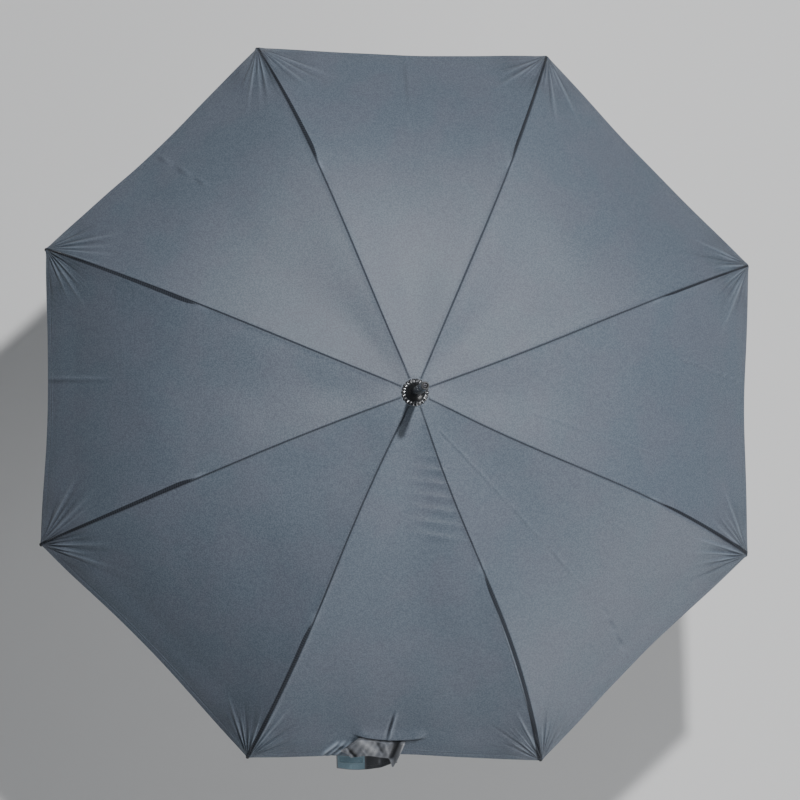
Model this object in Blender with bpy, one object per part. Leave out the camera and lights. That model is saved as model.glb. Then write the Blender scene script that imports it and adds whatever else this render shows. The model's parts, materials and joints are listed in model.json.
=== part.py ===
"""Umbrella reflector, open: a folding eight-rib studio umbrella on a tube shaft.

Metres, +Z up. The origin is the centre of the shaft end cap's flat bottom face, the shaft runs up +Z, and the
dome of the canopy faces up. Rib 1 stands 22.5 degrees from +X, and the ribs are numbered anticlockwise.
"""

import math

import bmesh
import bpy
import numpy as np
from mathutils import Matrix

# Overall sizes
SPAN = 1.000  # corner to corner across the open canopy
SHAFT_BELOW = 0.660  # end cap's bottom face to the crown hinges
FERRULE_ABOVE = 0.113  # crown hinges to the ferrule's end
RIBS = 8
FIRST_AZIMUTH = math.radians(22.5)

# Rib curve: the slope below horizontal grows from the crown to the tip
SLOPE_START = math.radians(5.0)
SLOPE_END = math.radians(49.0)
SLOPE_POWER = 1.8
JOINT_SHARE = 0.39  # where along the rib the stretcher is hinged

# Tube, wires and strips
SHAFT_R = 0.0040
SHAFT_WALL = 0.0006
RING_R = 0.0120  # hinge circle of both the crown and the runner
WIRE_R = 0.0006
TONGUE_W = 0.0018
CHANNEL_W = 0.0030
CHANNEL_WALL = 0.0006
RIB_H = 0.0026
STRETCHER_H = 0.0024
EYE_R = 0.0019
ROD_R = 0.0015
PIVOT_DROP = 0.0015  # stretcher hinge below the rib's centre line
CLIP_WALL = 0.0006
TIP_WALL = 0.0006
TIP_LENGTH = 0.014

# Crown, runner and ferrule
NOTCH_R = 0.0155
HUB_R = 0.0075
SLEEVE_R = 0.0082
SLEEVE_LENGTH = 0.056
PIN_R = 0.0008
CATCH_OUT = 0.0024
CATCH_W = 0.0012
FERRULE_BASE_R = 0.0130
FERRULE_PEG_R = 0.0052
ROSETTE_R = 0.0175
ROSETTE_TEETH = 18

# Cloth
CLOTH_T = 0.0012
CLOTH_SAG = 0.006
HEM_HOLLOW = 0.012
STRAP_LENGTH = 0.088
STRAP_W = 0.020  # each of its two turns, one above the hem and one beyond it

# Clearances
FIT = 0.00015  # radial, round a pin, wire or tube
BOW_FIT = 0.00045  # radial, round the curved rod in its straight cap
GAP = 0.0003  # between parts that rest on each other
SIDE = 0.0003  # each side of a moving tongue or plate

TIP_R = ROD_R + BOW_FIT + TIP_WALL
CROWN_Z = SHAFT_BELOW
NOTCH_TOP = 0.0035
CAP_STACK = NOTCH_TOP + GAP  # inner rosette's underside above the crown hinges
ROSETTE_T = 0.0008


# Build helpers ------------------------------------------------------------------------------------------------


def clear_scene():
    for obj in list(bpy.data.objects):
        bpy.data.objects.remove(obj)


def new_collection(name, hidden=False):
    made = bpy.data.collections.new(name)
    bpy.context.scene.collection.children.link(made)
    made.hide_render = hidden
    return made


def object_from(bm, name, collection):
    """An object with the bmesh's shape, its faces turned outwards."""
    bmesh.ops.recalc_face_normals(bm, faces=bm.faces)
    mesh = bpy.data.meshes.new(name)
    bm.to_mesh(mesh)
    bm.free()
    obj = bpy.data.objects.new(name, mesh)
    collection.objects.link(obj)
    return obj


def helper(bm, name):
    """A hidden solid that a Boolean uses."""
    obj = object_from(bm, name, WORKSHOP)
    obj.hide_render = True
    obj.display_type = "WIRE"
    return obj


def prism(outline, low, high):
    """The outline, a list of (x, z), extruded along Y."""
    bm = bmesh.new()
    near = [bm.verts.new((x, low, z)) for x, z in outline]
    far = [bm.verts.new((x, high, z)) for x, z in outline]
    bm.faces.new(near)
    bm.faces.new(far[::-1])
    for i in range(len(outline)):
        j = (i + 1) % len(outline)
        bm.faces.new((near[j], near[i], far[i], far[j]))
    return bm


def box(low, high):
    corners = ((low[0], low[2]), (high[0], low[2]), (high[0], high[2]), (low[0], high[2]))
    return prism(corners, low[1], high[1])


def circle(radius, steps, centre=(0.0, 0.0), phase=0.5):
    turns = [2 * math.pi * (i + phase) / steps for i in range(steps)]
    return [(centre[0] + radius * math.cos(t), centre[1] + radius * math.sin(t)) for t in turns]


def turned(bm, angle, axis="Z"):
    bmesh.ops.rotate(bm, verts=bm.verts, cent=(0, 0, 0), matrix=matrix_about(angle, axis))
    return bm


def matrix_about(angle, axis):
    return Matrix.Rotation(angle, 3, axis)


def lathe(profile, steps, teeth=None):
    """A closed (radius, z) profile turned round Z. teeth(angle, radius) may change the radius."""
    bm = bmesh.new()
    rings = []
    for radius, z in profile:
        if radius == 0:
            rings.append([bm.verts.new((0, 0, z))] * steps)
            continue
        ring = []
        for i in range(steps):
            angle = 2 * math.pi * i / steps
            r = teeth(angle, radius) if teeth else radius
            ring.append(bm.verts.new((r * math.cos(angle), r * math.sin(angle), z)))
        rings.append(ring)
    for k, ring in enumerate(rings):
        above = rings[(k + 1) % len(rings)]
        for i in range(steps):
            j = (i + 1) % steps
            corners = []
            for vert in (ring[i], ring[j], above[j], above[i]):
                if vert not in corners:
                    corners.append(vert)
            if len(corners) > 2:
                bm.faces.new(corners)
    return bm


def torus(major, minor, steps, sides):
    return lathe([(major + x, z) for x, z in circle(minor, sides)], steps)


def sweep(points, normals, outline):
    """The outline, a list of (y, n), carried along points (x, z) with n measured along each unit normal."""
    bm = bmesh.new()
    rings = []
    for (x, z), (nx, nz) in zip(points, normals):
        rings.append([bm.verts.new((x + n * nx, y, z + n * nz)) for y, n in outline])
    for ring, following in zip(rings, rings[1:]):
        for i in range(len(outline)):
            j = (i + 1) % len(outline)
            bm.faces.new((ring[i], ring[j], following[j], following[i]))
    bm.faces.new(rings[0][::-1])
    bm.faces.new(rings[-1])
    return bm


def channel(width, height, wall):
    """A U section, open downwards."""
    w = width / 2
    h = height / 2
    inner = [(w - wall, -h), (w - wall, h - wall), (wall - w, h - wall), (wall - w, -h)]
    return [(-w, -h), (-w, h), (w, h), (w, -h)] + inner


def strip(width, low, high):
    return [(-width / 2, low), (-width / 2, high), (width / 2, high), (width / 2, low)]


def combine(obj, operation, bm, name):
    """Adds a live Boolean between obj and a hidden helper made from the bmesh."""
    modifier = obj.modifiers.new(name, "BOOLEAN")
    modifier.operation = operation
    modifier.solver = "EXACT"
    modifier.object = helper(bm, f"{obj.name}_{name}")
    return obj


def evaluated(obj):
    bpy.context.view_layer.update()
    graph = bpy.context.evaluated_depsgraph_get()
    return bpy.data.meshes.new_from_object(obj.evaluated_get(graph))


def material(name, colour, metallic, roughness):
    made = bpy.data.materials.new(name)
    made.use_nodes = True
    shader = made.node_tree.nodes["Principled BSDF"]
    shader.inputs["Base Color"].default_value = (*colour, 1.0)
    shader.inputs["Metallic"].default_value = metallic
    shader.inputs["Roughness"].default_value = roughness
    return made


LOOKS = {
    "steel": ((0.55, 0.56, 0.58), 1.0, 0.32),
    "black_steel": ((0.03, 0.03, 0.035), 0.6, 0.4),
    "black_plastic": ((0.015, 0.015, 0.017), 0.0, 0.45),
    "fibreglass": ((0.02, 0.02, 0.022), 0.0, 0.3),
    "cloth": ((0.06, 0.07, 0.085), 0.0, 0.7),
    "patch": ((0.05, 0.14, 0.19), 0.0, 0.8),
    "rubber": ((0.012, 0.012, 0.012), 0.0, 0.8),
}


def finish(obj, look):
    obj.data.materials.clear()
    obj.data.materials.append(material(f"{obj.name}_{look}", *LOOKS[look]))
    return obj


def add(bm, name, look, origin=(0.0, 0.0, 0.0)):
    """A visible part whose bmesh is drawn about its own origin."""
    obj = object_from(bm, name, UMBRELLA)
    obj.location = origin
    return finish(obj, look)


def place_round(master, stem, look, origin):
    """One copy of the master for each rib, its origin at the hinge named by (radius, z)."""
    mesh = evaluated(master)
    for i in range(RIBS):
        azimuth = FIRST_AZIMUTH + 2 * math.pi * i / RIBS
        obj = bpy.data.objects.new(f"{stem}_{i + 1}", mesh.copy())
        UMBRELLA.objects.link(obj)
        obj.location = (origin[0] * math.cos(azimuth), origin[0] * math.sin(azimuth), origin[1])
        obj.rotation_euler.z = azimuth
        finish(obj, look)


# Rib curve ----------------------------------------------------------------------------------------------------


def slope_at(share):
    return SLOPE_START + (SLOPE_END - SLOPE_START) * np.asarray(share, float) ** SLOPE_POWER


def rib_curve():
    """Finely spaced (share, radius, z) along the rib's centre line, scaled to reach the span."""
    share = np.linspace(0, 1, 4001)
    middle = slope_at((share[1:] + share[:-1]) / 2)
    reach = np.concatenate([[0], np.cumsum(np.cos(middle))]) / 4000
    fall = np.concatenate([[0], np.cumsum(np.sin(middle))]) / 4000
    length = (SPAN / 2 - RING_R) / reach[-1]
    return share, RING_R + length * reach, CROWN_Z - length * fall, length


SHARE, CURVE_R, CURVE_Z, RIB_LENGTH = rib_curve()


def on_rib(distance):
    """(radius, z) of the rib's centre line at these distances from the crown hinge."""
    share = np.asarray(distance, float) / RIB_LENGTH
    return np.interp(share, SHARE, CURVE_R), np.interp(share, SHARE, CURVE_Z)


def normal_on_rib(distance):
    angle = slope_at(np.clip(np.asarray(distance, float) / RIB_LENGTH, 0, 1))
    return np.sin(angle), np.cos(angle)


JOINT_AT = JOINT_SHARE * RIB_LENGTH
PIVOT_R = float(on_rib(JOINT_AT)[0] - PIVOT_DROP * normal_on_rib(JOINT_AT)[0])
PIVOT_Z = float(on_rib(JOINT_AT)[1] - PIVOT_DROP * normal_on_rib(JOINT_AT)[1])
ARM = math.hypot(PIVOT_R - RING_R, CROWN_Z - PIVOT_Z)  # crown hinge to stretcher hinge
ARM_SLOPE = math.atan2(CROWN_Z - PIVOT_Z, PIVOT_R - RING_R)
RUNNER_Z = CROWN_Z - 2 * ARM * math.sin(ARM_SLOPE)  # the stretcher is as long as the arm
FOLDED_SLOPE = math.radians(88.0)
RUNNER_FOLDED_Z = CROWN_Z - 2 * ARM * math.sin(FOLDED_SLOPE)


def path(distance, origin):
    """Points and unit normals at these distances along the rib, measured from the origin (radius, z)."""
    r, z = on_rib(distance)
    nr, nz = normal_on_rib(distance)
    return list(zip(r - origin[0], z - origin[1])), list(zip(nr, nz))


def along(origin, s, n):
    """(x, z) of a point s along the rib's tangent at the stretcher hinge and n above it, from the origin."""
    angle = float(slope_at(JOINT_SHARE))
    x = PIVOT_R - origin[0] + s * math.cos(angle) + n * math.sin(angle)
    z = PIVOT_Z - origin[1] - s * math.sin(angle) + n * math.cos(angle)
    return x, z


# Ribs, rods, tips and stretchers ------------------------------------------------------------------------------


def rib_master():
    """Steel channel from the crown wire to its riveted clip, drawn about the crown hinge."""
    hinge = (RING_R, CROWN_Z)
    points, normals = path(np.linspace(0.008, JOINT_AT - 0.006, 5), hinge)
    rib = helper(sweep(points, normals, channel(CHANNEL_W, RIB_H, CHANNEL_WALL)), "rib_master")
    points, normals = path((0.0, 0.010), hinge)
    tongue = sweep(points, normals, strip(TONGUE_W, -RIB_H / 2 + 0.0001, RIB_H / 2 - 0.0001))
    combine(rib, "UNION", tongue, "tongue")
    combine(rib, "UNION", prism(circle(EYE_R, 8), -TONGUE_W / 2, TONGUE_W / 2), "eye")
    combine(rib, "DIFFERENCE", prism(circle(WIRE_R + FIT, 8), -0.01, 0.01), "wire_hole")
    top = PIVOT_DROP + RIB_H / 2
    low = -0.0023
    outer = CHANNEL_W / 2 + CLIP_WALL - 0.0002
    ends = ((-0.0090, low + 0.0012), (-0.0036, low + 0.0002), (-0.0036, top - 0.0002), (-0.0090, top - 0.0002))
    block = [along(hinge, s, n) for s, n in ends]
    combine(rib, "UNION", prism(block, 0.0001 - outer, outer - 0.0001), "clip")
    cheek = ((-0.0046, low), (0.0010, low), (0.0023, -0.0010), (0.0023, 0.0010), (0.0012, top), (-0.0046, top))
    outline = [along(hinge, s, n) for s, n in cheek]
    combine(rib, "UNION", prism(outline, outer - CLIP_WALL, outer), "cheek_left")
    combine(rib, "UNION", prism(outline, -outer, CLIP_WALL - outer), "cheek_right")
    reach = outer + SIDE + CLIP_WALL + SIDE
    pivot = (PIVOT_R - hinge[0], PIVOT_Z - hinge[1])
    combine(rib, "UNION", prism(circle(WIRE_R, 8, pivot), -reach - 0.0002, reach + 0.0002), "rivet")
    head = circle(0.0013, 8, pivot)
    combine(rib, "UNION", prism(head, reach, reach + 0.0004), "head_left")
    combine(rib, "UNION", prism(head, -reach - 0.0004, -reach), "head_right")
    return rib


def rod_master():
    """Round rod from its eye in the clip to the corner of the canopy, drawn about the stretcher hinge."""
    hinge = (PIVOT_R, PIVOT_Z)
    bowed = np.linspace(JOINT_AT + 0.0050, RIB_LENGTH - TIP_LENGTH - 0.002, 7)
    points, normals = path((*bowed, RIB_LENGTH - 0.0036), hinge)
    rod = helper(sweep(points, normals, circle(ROD_R, 8)), "rod_master")
    width = CHANNEL_W / 2 - 0.0002 - SIDE
    blade = ((-0.0019, -0.0008), (-0.0008, -0.0019), (0.0012, -0.0019), (0.0075, 0.0005), (0.0075, 0.0026))
    blade += ((0.0, 0.0026), (-0.0019, 0.0010))
    outline = [along(hinge, s, n) for s, n in blade]
    combine(rod, "UNION", prism(outline, -width, width), "blade")
    combine(rod, "DIFFERENCE", prism(circle(WIRE_R + FIT, 8), -0.01, 0.01), "rivet_hole")
    return rod


def tip_master():
    """Moulded cap on the rod's end, drawn about the rod's end."""
    end = tuple(float(v) for v in on_rib(RIB_LENGTH))
    angle = float(slope_at(1.0))
    bore = ROD_R + BOW_FIT
    outer = [(TIP_R - 0.0003, -TIP_LENGTH), (TIP_R, -TIP_LENGTH + 0.001), (TIP_R, -0.0012), (TIP_R - 0.0010, 0.0)]
    profile = [(0, 0)] + outer[::-1] + [(bore, -TIP_LENGTH), (bore, -0.0028), (0, -0.0028)]
    bm = lathe(profile, 10)
    turned(bm, math.pi / 2 + angle, "Y")
    return helper(bm, "tip_master"), end


def capsule(start, end, half, rounded):
    """Outline of a bar along X with a rounded end about the start."""
    turns = [math.pi / 2 + math.pi * i / 4 for i in range(5)]
    left = [(start + rounded * math.cos(t), rounded * math.sin(t)) for t in turns]
    return left + [(start + 0.006, -half), (end, -half), (end, half), (start + 0.006, half)]


def stretcher_master():
    """Forked steel arm from the rib's rivet to the runner wire, drawn about the rivet and laid on its slope."""
    fork_in = CHANNEL_W / 2 + CLIP_WALL - 0.0002 + SIDE
    fork_out = fork_in + CLIP_WALL
    straight = [(0.015, 0.0), (ARM - 0.008, 0.0)]
    up = [(0.0, 1.0), (0.0, 1.0)]
    arm = helper(sweep(straight, up, channel(CHANNEL_W, STRETCHER_H, CHANNEL_WALL)), "stretcher_master")
    half = STRETCHER_H / 2
    steps = [
        ("UNION", box((0.0145, -fork_out, -half), (0.0185, fork_out, half)), "bridge"),
        ("UNION", prism(capsule(0.0, 0.016, half, EYE_R), fork_in, fork_out), "fork_left"),
        ("UNION", prism(capsule(0.0, 0.016, half, EYE_R), -fork_out, -fork_in), "fork_right"),
        ("UNION", box((ARM - 0.010, -TONGUE_W / 2, -half), (ARM, TONGUE_W / 2, half)), "tongue"),
        ("UNION", prism(circle(EYE_R, 8, (ARM, 0.0)), -TONGUE_W / 2, TONGUE_W / 2), "eye"),
        ("DIFFERENCE", prism(circle(WIRE_R + FIT, 8, (ARM, 0.0)), -0.01, 0.01), "wire_hole"),
        ("DIFFERENCE", prism(circle(WIRE_R + FIT, 8), -0.01, 0.01), "rivet_hole"),
    ]
    for operation, bm, name in steps:
        combine(arm, operation, bm, name)
    mesh = evaluated(arm)
    bm = bmesh.new()
    bm.from_mesh(mesh)
    turned(bm, math.pi - ARM_SLOPE, "Y")
    return helper(bm, "stretcher_laid")


# Shaft, crown, runner and catches -----------------------------------------------------------------------------


def slot_bodies(low, high):
    """Eight radial slots for the tongues, as one solid each."""
    half = TONGUE_W / 2 + SIDE
    bodies = []
    for i in range(RIBS):
        bodies.append(turned(box((0.0093, -half, low), (0.020, half, high)), FIRST_AZIMUTH + 2 * math.pi * i / RIBS))
    return bodies


def notch(name, profile, slot_low, slot_high, origin, look="black_plastic"):
    """A slotted hub with a tunnel for its hinge wire."""
    obj = add(lathe(profile, 24), name, look, origin)
    tunnel = combine_at(obj, "DIFFERENCE", torus(RING_R, WIRE_R + FIT, 24, 6), "tunnel", origin)
    for i, bm in enumerate(slot_bodies(slot_low, slot_high)):
        combine_at(tunnel, "DIFFERENCE", bm, f"slot_{i + 1}", origin)
    return obj


def combine_at(obj, operation, bm, name, origin):
    bmesh.ops.translate(bm, verts=bm.verts, vec=origin)
    return combine(obj, operation, bm, name)


def build_crown():
    """Top notch fixed on the shaft, its hinge wire, its cross pin and the inner rosette on it."""
    origin = (0.0, 0.0, CROWN_Z)
    bore = SHAFT_R + FIT
    profile = [(bore, -0.0125), (HUB_R, -0.0125), (HUB_R, -NOTCH_TOP), (NOTCH_R - 0.001, -NOTCH_TOP)]
    profile += [(NOTCH_R, -0.0025), (NOTCH_R, 0.0027), (NOTCH_R - 0.0008, NOTCH_TOP), (bore, NOTCH_TOP)]
    crown = notch("crown", profile, -0.020, EYE_R + 0.0004, origin)
    drill = turned(prism(circle(PIN_R + FIT, 12), -0.02, 0.02), math.pi / 2)
    combine_at(crown, "DIFFERENCE", drill, "pin_hole", (0.0, 0.0, CROWN_Z - 0.008))
    add(torus(RING_R, WIRE_R, 24, 6), "crown_wire", "steel", origin)
    pin = turned(prism(circle(PIN_R, 12), -HUB_R + 0.0002, HUB_R - 0.0002), math.pi / 2)
    add(pin, "crown_pin", "steel", (0.0, 0.0, CROWN_Z - 0.008))
    disc = [(bore, 0.0), (NOTCH_R, 0.0), (NOTCH_R, 0.0006), (bore, 0.0006)]
    add(lathe(disc, 24), "inner_rosette", "cloth", (0.0, 0.0, CROWN_Z + CAP_STACK))


def build_runner():
    """Sliding notch and sleeve, with a keyway for the catches and a window for the lower one."""
    origin = (0.0, 0.0, RUNNER_Z)
    bore = SHAFT_R + 0.00025
    bottom = -0.004 - SLEEVE_LENGTH
    profile = [(bore, bottom), (0.0098, bottom), (0.0102, bottom + 0.001), (0.0102, bottom + 0.005)]
    profile += [(SLEEVE_R, bottom + 0.008), (SLEEVE_R, -0.0045), (NOTCH_R - 0.001, -NOTCH_TOP), (NOTCH_R, -0.0025)]
    profile += [(NOTCH_R, 0.0025), (NOTCH_R - 0.001, NOTCH_TOP), (HUB_R, NOTCH_TOP), (HUB_R, 0.006), (bore, 0.006)]
    runner = notch("runner", profile, -EYE_R - 0.0004, 0.020, origin)
    keyway = box((0.0, -CATCH_W / 2 - GAP, -0.1), (SHAFT_R + CATCH_OUT + GAP, CATCH_W / 2 + GAP, 0.1))
    combine_at(runner, "DIFFERENCE", keyway, "keyway", origin)
    window = box((SHAFT_R, -CATCH_W / 2 - 0.0008, -0.030), (0.02, CATCH_W / 2 + 0.0008, -0.018))
    combine_at(runner, "DIFFERENCE", window, "window", origin)
    add(torus(RING_R, WIRE_R, 24, 6), "runner_wire", "steel", origin)


def build_catch(name, top):
    """Sprung tooth on a leaf inside the tube. Its square top faces up and its slope faces down."""
    leaf_x = SHAFT_R - SHAFT_WALL - 0.0006
    leaf = box((leaf_x - 0.0005, -0.0011, -0.022), (leaf_x, 0.0011, 0.004))
    catch = add(leaf, name, "steel", (0.0, 0.0, top))
    reach = SHAFT_R + CATCH_OUT
    inner = leaf_x - 0.0003
    tooth = ((inner, 0.0), (inner, -0.011), (leaf_x + 0.0004, -0.011), (reach, -0.002), (reach, 0.0))
    bm = prism(tooth, -CATCH_W / 2, CATCH_W / 2)
    combine_at(catch, "UNION", bm, "tooth", (0.0, 0.0, top))
    return box((0.0, -CATCH_W / 2 - GAP, top - 0.0115), (0.006, CATCH_W / 2 + GAP, top + 0.0004))


def build_shaft():
    """Tube with its pin holes and catch slots, the two pins' stop, the catches and the end cap."""
    top = CROWN_Z + 0.060
    wall = SHAFT_R - SHAFT_WALL
    base = 0.002 + GAP
    tube = lathe([(wall, base), (SHAFT_R, base), (SHAFT_R, top), (wall, top)], 20)
    shaft = add(tube, "shaft", "black_steel")
    runner_bottom = RUNNER_Z - 0.004 - SLEEVE_LENGTH
    combine(shaft, "DIFFERENCE", build_catch("open_catch", runner_bottom - GAP), "open_slot")
    combine(shaft, "DIFFERENCE", build_catch("closed_catch", RUNNER_FOLDED_Z - 0.019), "closed_slot")
    drill = turned(prism(circle(PIN_R + FIT, 12), -0.02, 0.02), math.pi / 2)
    combine_at(shaft, "DIFFERENCE", drill, "crown_pin_hole", (0.0, 0.0, CROWN_Z - 0.008))
    stop_z = RUNNER_Z + 0.006 + PIN_R + 0.0006
    drill = prism(circle(PIN_R + FIT, 12), -0.02, 0.02)
    combine_at(shaft, "DIFFERENCE", drill, "stop_pin_hole", (0.0, 0.0, stop_z))
    add(prism(circle(PIN_R, 12), -0.0058, 0.0058), "stop_pin", "steel", (0.0, 0.0, stop_z))
    bore = SHAFT_R + FIT
    cap = [(0, 0), (0.0052, 0), (0.0062, 0.001), (0.0062, 0.013), (0.0055, 0.014)]
    cap += [(bore, 0.014), (bore, 0.002), (0, 0.002)]
    add(lathe(cap, 24), "end_cap", "rubber")


def build_ferrule():
    """Toothed rosette washer, the moulded ferrule over the tube's end, and the plug in its tip."""
    bore = SHAFT_R + FIT
    washer_z = CAP_STACK + 0.0006 + GAP + CLOTH_T + GAP + 0.0002

    def teeth(angle, radius):
        wave = math.cos(ROSETTE_TEETH * angle)
        return radius + 0.0007 * wave if radius > 0.016 else radius

    low = ROSETTE_R - 0.0007
    profile = [(bore, 0.0), (low - 0.002, 0.0), (low, -0.0003), (low, 0.0004), (low - 0.002, ROSETTE_T), (bore, ROSETTE_T)]
    add(lathe(profile, ROSETTE_TEETH * 2, teeth), "rosette_washer", "steel", (0.0, 0.0, CROWN_Z + washer_z))
    base = washer_z + ROSETTE_T + GAP
    top = FERRULE_ABOVE
    profile = [(bore, base), (FERRULE_BASE_R, base), (FERRULE_BASE_R, base + 0.002), (0.0118, base + 0.0050)]
    profile += [(0.0092, base + 0.0075), (0.0070, base + 0.0090), (0.0063, base + 0.0120), (FERRULE_PEG_R, top - 0.001)]
    profile += [(FERRULE_PEG_R - 0.0008, top), (0.0033, top), (0.0033, 0.063), (bore, 0.062)]
    add(lathe(profile, 24), "ferrule", "black_plastic", (0.0, 0.0, CROWN_Z))
    plug = [(0, top - 0.020), (0.0030, top - 0.020), (0.0030, top - 0.0020), (0.0022, top - 0.0012), (0, top - 0.0012)]
    add(lathe(plug, 16), "ferrule_tip", "steel", (0.0, 0.0, CROWN_Z))


# Canopy and strap ---------------------------------------------------------------------------------------------


def ease(x):
    x = np.clip(x, 0, 1)
    return x * x * (3 - 2 * x)


CLOTH_LOW = ROD_R + 0.0014  # underside above the rib's centre line
CAP_MIDDLE = CROWN_Z + CAP_STACK + 0.0006 + GAP + CLOTH_T / 2
CLOTH_START = 0.0065  # the cloth's hole round the shaft
CLOTH_FLAT = 0.0180  # radius of the part clamped under the washer


def cloth_line(share):
    """(radius, z) of the cloth's middle surface above a rib. share 0 is the hole and 1 the corner."""
    share = np.asarray(share, float)
    radius = CLOTH_START + share * (SPAN / 2 - 0.001 - CLOTH_START)
    lift = CLOTH_LOW + CLOTH_T / 2 + 0.0020 * ease((radius - SPAN / 2 + 0.045) / 0.030)
    slope = np.interp(radius, CURVE_R, slope_at(SHARE))
    over = np.interp(radius, CURVE_R, CURVE_Z) + lift / np.cos(slope)
    blend = ease((radius - CLOTH_FLAT) / 0.085)
    gentle = CAP_MIDDLE - math.tan(SLOPE_START * 0.9) * np.clip(radius - CLOTH_FLAT, 0, None)
    return radius, np.maximum(over, CAP_MIDDLE * (radius < CLOTH_FLAT)) * blend + gentle * (1 - blend)


def cloth_point(share, across):
    """Points of the cloth's middle surface in the rib's own frame. across runs -1 to 1 between mid-gores."""
    side = np.abs(across)
    hollow = np.sin(side * math.pi / 2) ** 2
    radius, z = cloth_line(share * (1 - HEM_HOLLOW * hollow * share**4))
    x = radius * (1 - side / 2 * (1 - math.cos(2 * math.pi / RIBS)))
    y = radius * across / 2 * math.sin(2 * math.pi / RIBS)
    sag = CLOTH_SAG * hollow * ease((share - 0.03) / 0.3) * np.sqrt(np.clip(1 - share, 0, 1))
    return np.stack([x, y, z - sag], axis=-1)


def canopy_master():
    """One eighth of the cloth, from mid-gore to mid-gore over a rib, drawn about the stretcher hinge."""
    share = np.concatenate([[0.0, 0.024], 1 - 0.94 * np.linspace(1, 0, 11) ** 1.25])
    across = np.array([-1.0, -0.62, -0.3, 0.0, 0.3, 0.62, 1.0])
    s, v = np.meshgrid(share, across, indexing="ij")
    radius = cloth_line(s)[0]
    v = np.sign(v) * np.minimum(np.abs(v), 1 - GAP / (radius * math.sin(2 * math.pi / RIBS)))
    middle = cloth_point(s, v)
    tiny = 1e-4
    along_s = cloth_point(np.clip(s + tiny, 0, 1), v) - cloth_point(np.clip(s - tiny, 0, 1), v)
    along_v = cloth_point(s, v + tiny) - cloth_point(s, v - tiny)
    normal = np.cross(along_s, along_v)
    normal /= np.linalg.norm(normal, axis=-1, keepdims=True)
    normal[s < 0.03] = (0.0, 0.0, 1.0)
    origin = np.array([PIVOT_R, 0.0, PIVOT_Z])
    bm = bmesh.new()
    sheets = []
    for sign in (1, -1):
        points = middle + sign * CLOTH_T / 2 * normal - origin
        sheets.append([[bm.verts.new(tuple(p)) for p in row] for row in points])
    top, bottom = sheets
    rows, columns = s.shape
    for i in range(rows - 1):
        for j in range(columns - 1):
            bm.faces.new((top[i][j], top[i + 1][j], top[i + 1][j + 1], top[i][j + 1]))
            bm.faces.new((bottom[i][j], bottom[i][j + 1], bottom[i + 1][j + 1], bottom[i + 1][j]))
    rim = [(i, 0) for i in range(rows)] + [(rows - 1, j) for j in range(1, columns)]
    rim += [(i, columns - 1) for i in range(rows - 2, -1, -1)] + [(0, j) for j in range(columns - 2, 0, -1)]
    for (i, j), (k, m) in zip(rim, rim[1:] + rim[:1]):
        bm.faces.new((top[i][j], top[k][m], bottom[k][m], bottom[i][j]))
    return helper(bm, "canopy_master")


def strap_section(offset, thickness, start, end, low, high, count):
    """A band over the hem of the gore facing -Y. It follows the cloth's outside at the given offset."""
    azimuth = FIRST_AZIMUTH + 2 * math.pi * 5 / RIBS
    bm = bmesh.new()
    sheets = []
    for lift in (offset + thickness, offset):
        rows = []
        for y in np.linspace(low, high, count):
            height = cloth_height(y) + CLOTH_T / 2 + lift
            rows.append([bm.verts.new((x, y, height)) for x in (start, end)])
        sheets.append(rows)
    top, bottom = sheets
    for i in range(count - 1):
        bm.faces.new((top[i][0], top[i][1], top[i + 1][1], top[i + 1][0]))
        bm.faces.new((bottom[i][0], bottom[i + 1][0], bottom[i + 1][1], bottom[i][1]))
        bm.faces.new((top[i][0], top[i + 1][0], bottom[i + 1][0], bottom[i][0]))
        bm.faces.new((top[i][1], bottom[i][1], bottom[i + 1][1], top[i + 1][1]))
    bm.faces.new((top[0][0], bottom[0][0], bottom[0][1], top[0][1]))
    bm.faces.new((top[-1][0], top[-1][1], bottom[-1][1], bottom[-1][0]))
    origin = (PIVOT_R * math.cos(azimuth), PIVOT_R * math.sin(azimuth), PIVOT_Z)
    bmesh.ops.translate(bm, verts=bm.verts, vec=[-c for c in origin])
    return bm, origin


def cloth_height(y):
    """Greatest height of the cloth's middle surface at this y in the gore facing -Y, carried on past its hem."""
    radius = -y / math.cos(math.pi / RIBS)
    rib_radius, rib_z = cloth_line(np.linspace(0, 1, 400))
    slope = (rib_z[-1] - rib_z[-5]) / (rib_radius[-1] - rib_radius[-5])
    inside = float(np.interp(radius, rib_radius, rib_z))
    return inside + min(0.0, slope * (radius - rib_radius[-1]))


def build_canopy():
    place_round(canopy_master(), "canopy", "cloth", (PIVOT_R, PIVOT_Z))
    hem = -(SPAN / 2) * math.cos(math.pi / RIBS) * (1 - HEM_HOLLOW)
    right = 0.008
    left = right - STRAP_LENGTH
    band, origin = strap_section(0.001, CLOTH_T, left, right, hem - STRAP_W, hem + STRAP_W, 5)
    add(band, "tie_strap", "cloth", origin)
    above = 0.001 + CLOTH_T + GAP
    low, high = hem - 0.9 * STRAP_W, hem - 0.1 * STRAP_W
    patch, origin = strap_section(above, 0.0010, left + 0.006, left + 0.040, low, high, 3)
    add(patch, "strap_patch", "patch", origin)


# Assembly -----------------------------------------------------------------------------------------------------

clear_scene()
UMBRELLA = new_collection("umbrella_reflector")
WORKSHOP = new_collection("workshop", hidden=True)

build_shaft()
build_crown()
build_runner()
build_ferrule()
place_round(rib_master(), "rib", "black_steel", (RING_R, CROWN_Z))
place_round(rod_master(), "rod", "fibreglass", (PIVOT_R, PIVOT_Z))
TIP_MASTER, TIP_END = tip_master()
place_round(TIP_MASTER, "rib_tip", "black_plastic", TIP_END)
place_round(stretcher_master(), "stretcher", "black_steel", (PIVOT_R, PIVOT_Z))
build_canopy()
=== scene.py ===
"""Umbrella reflector, one metre corner to corner: the looks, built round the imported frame."""

import json
import math

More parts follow.
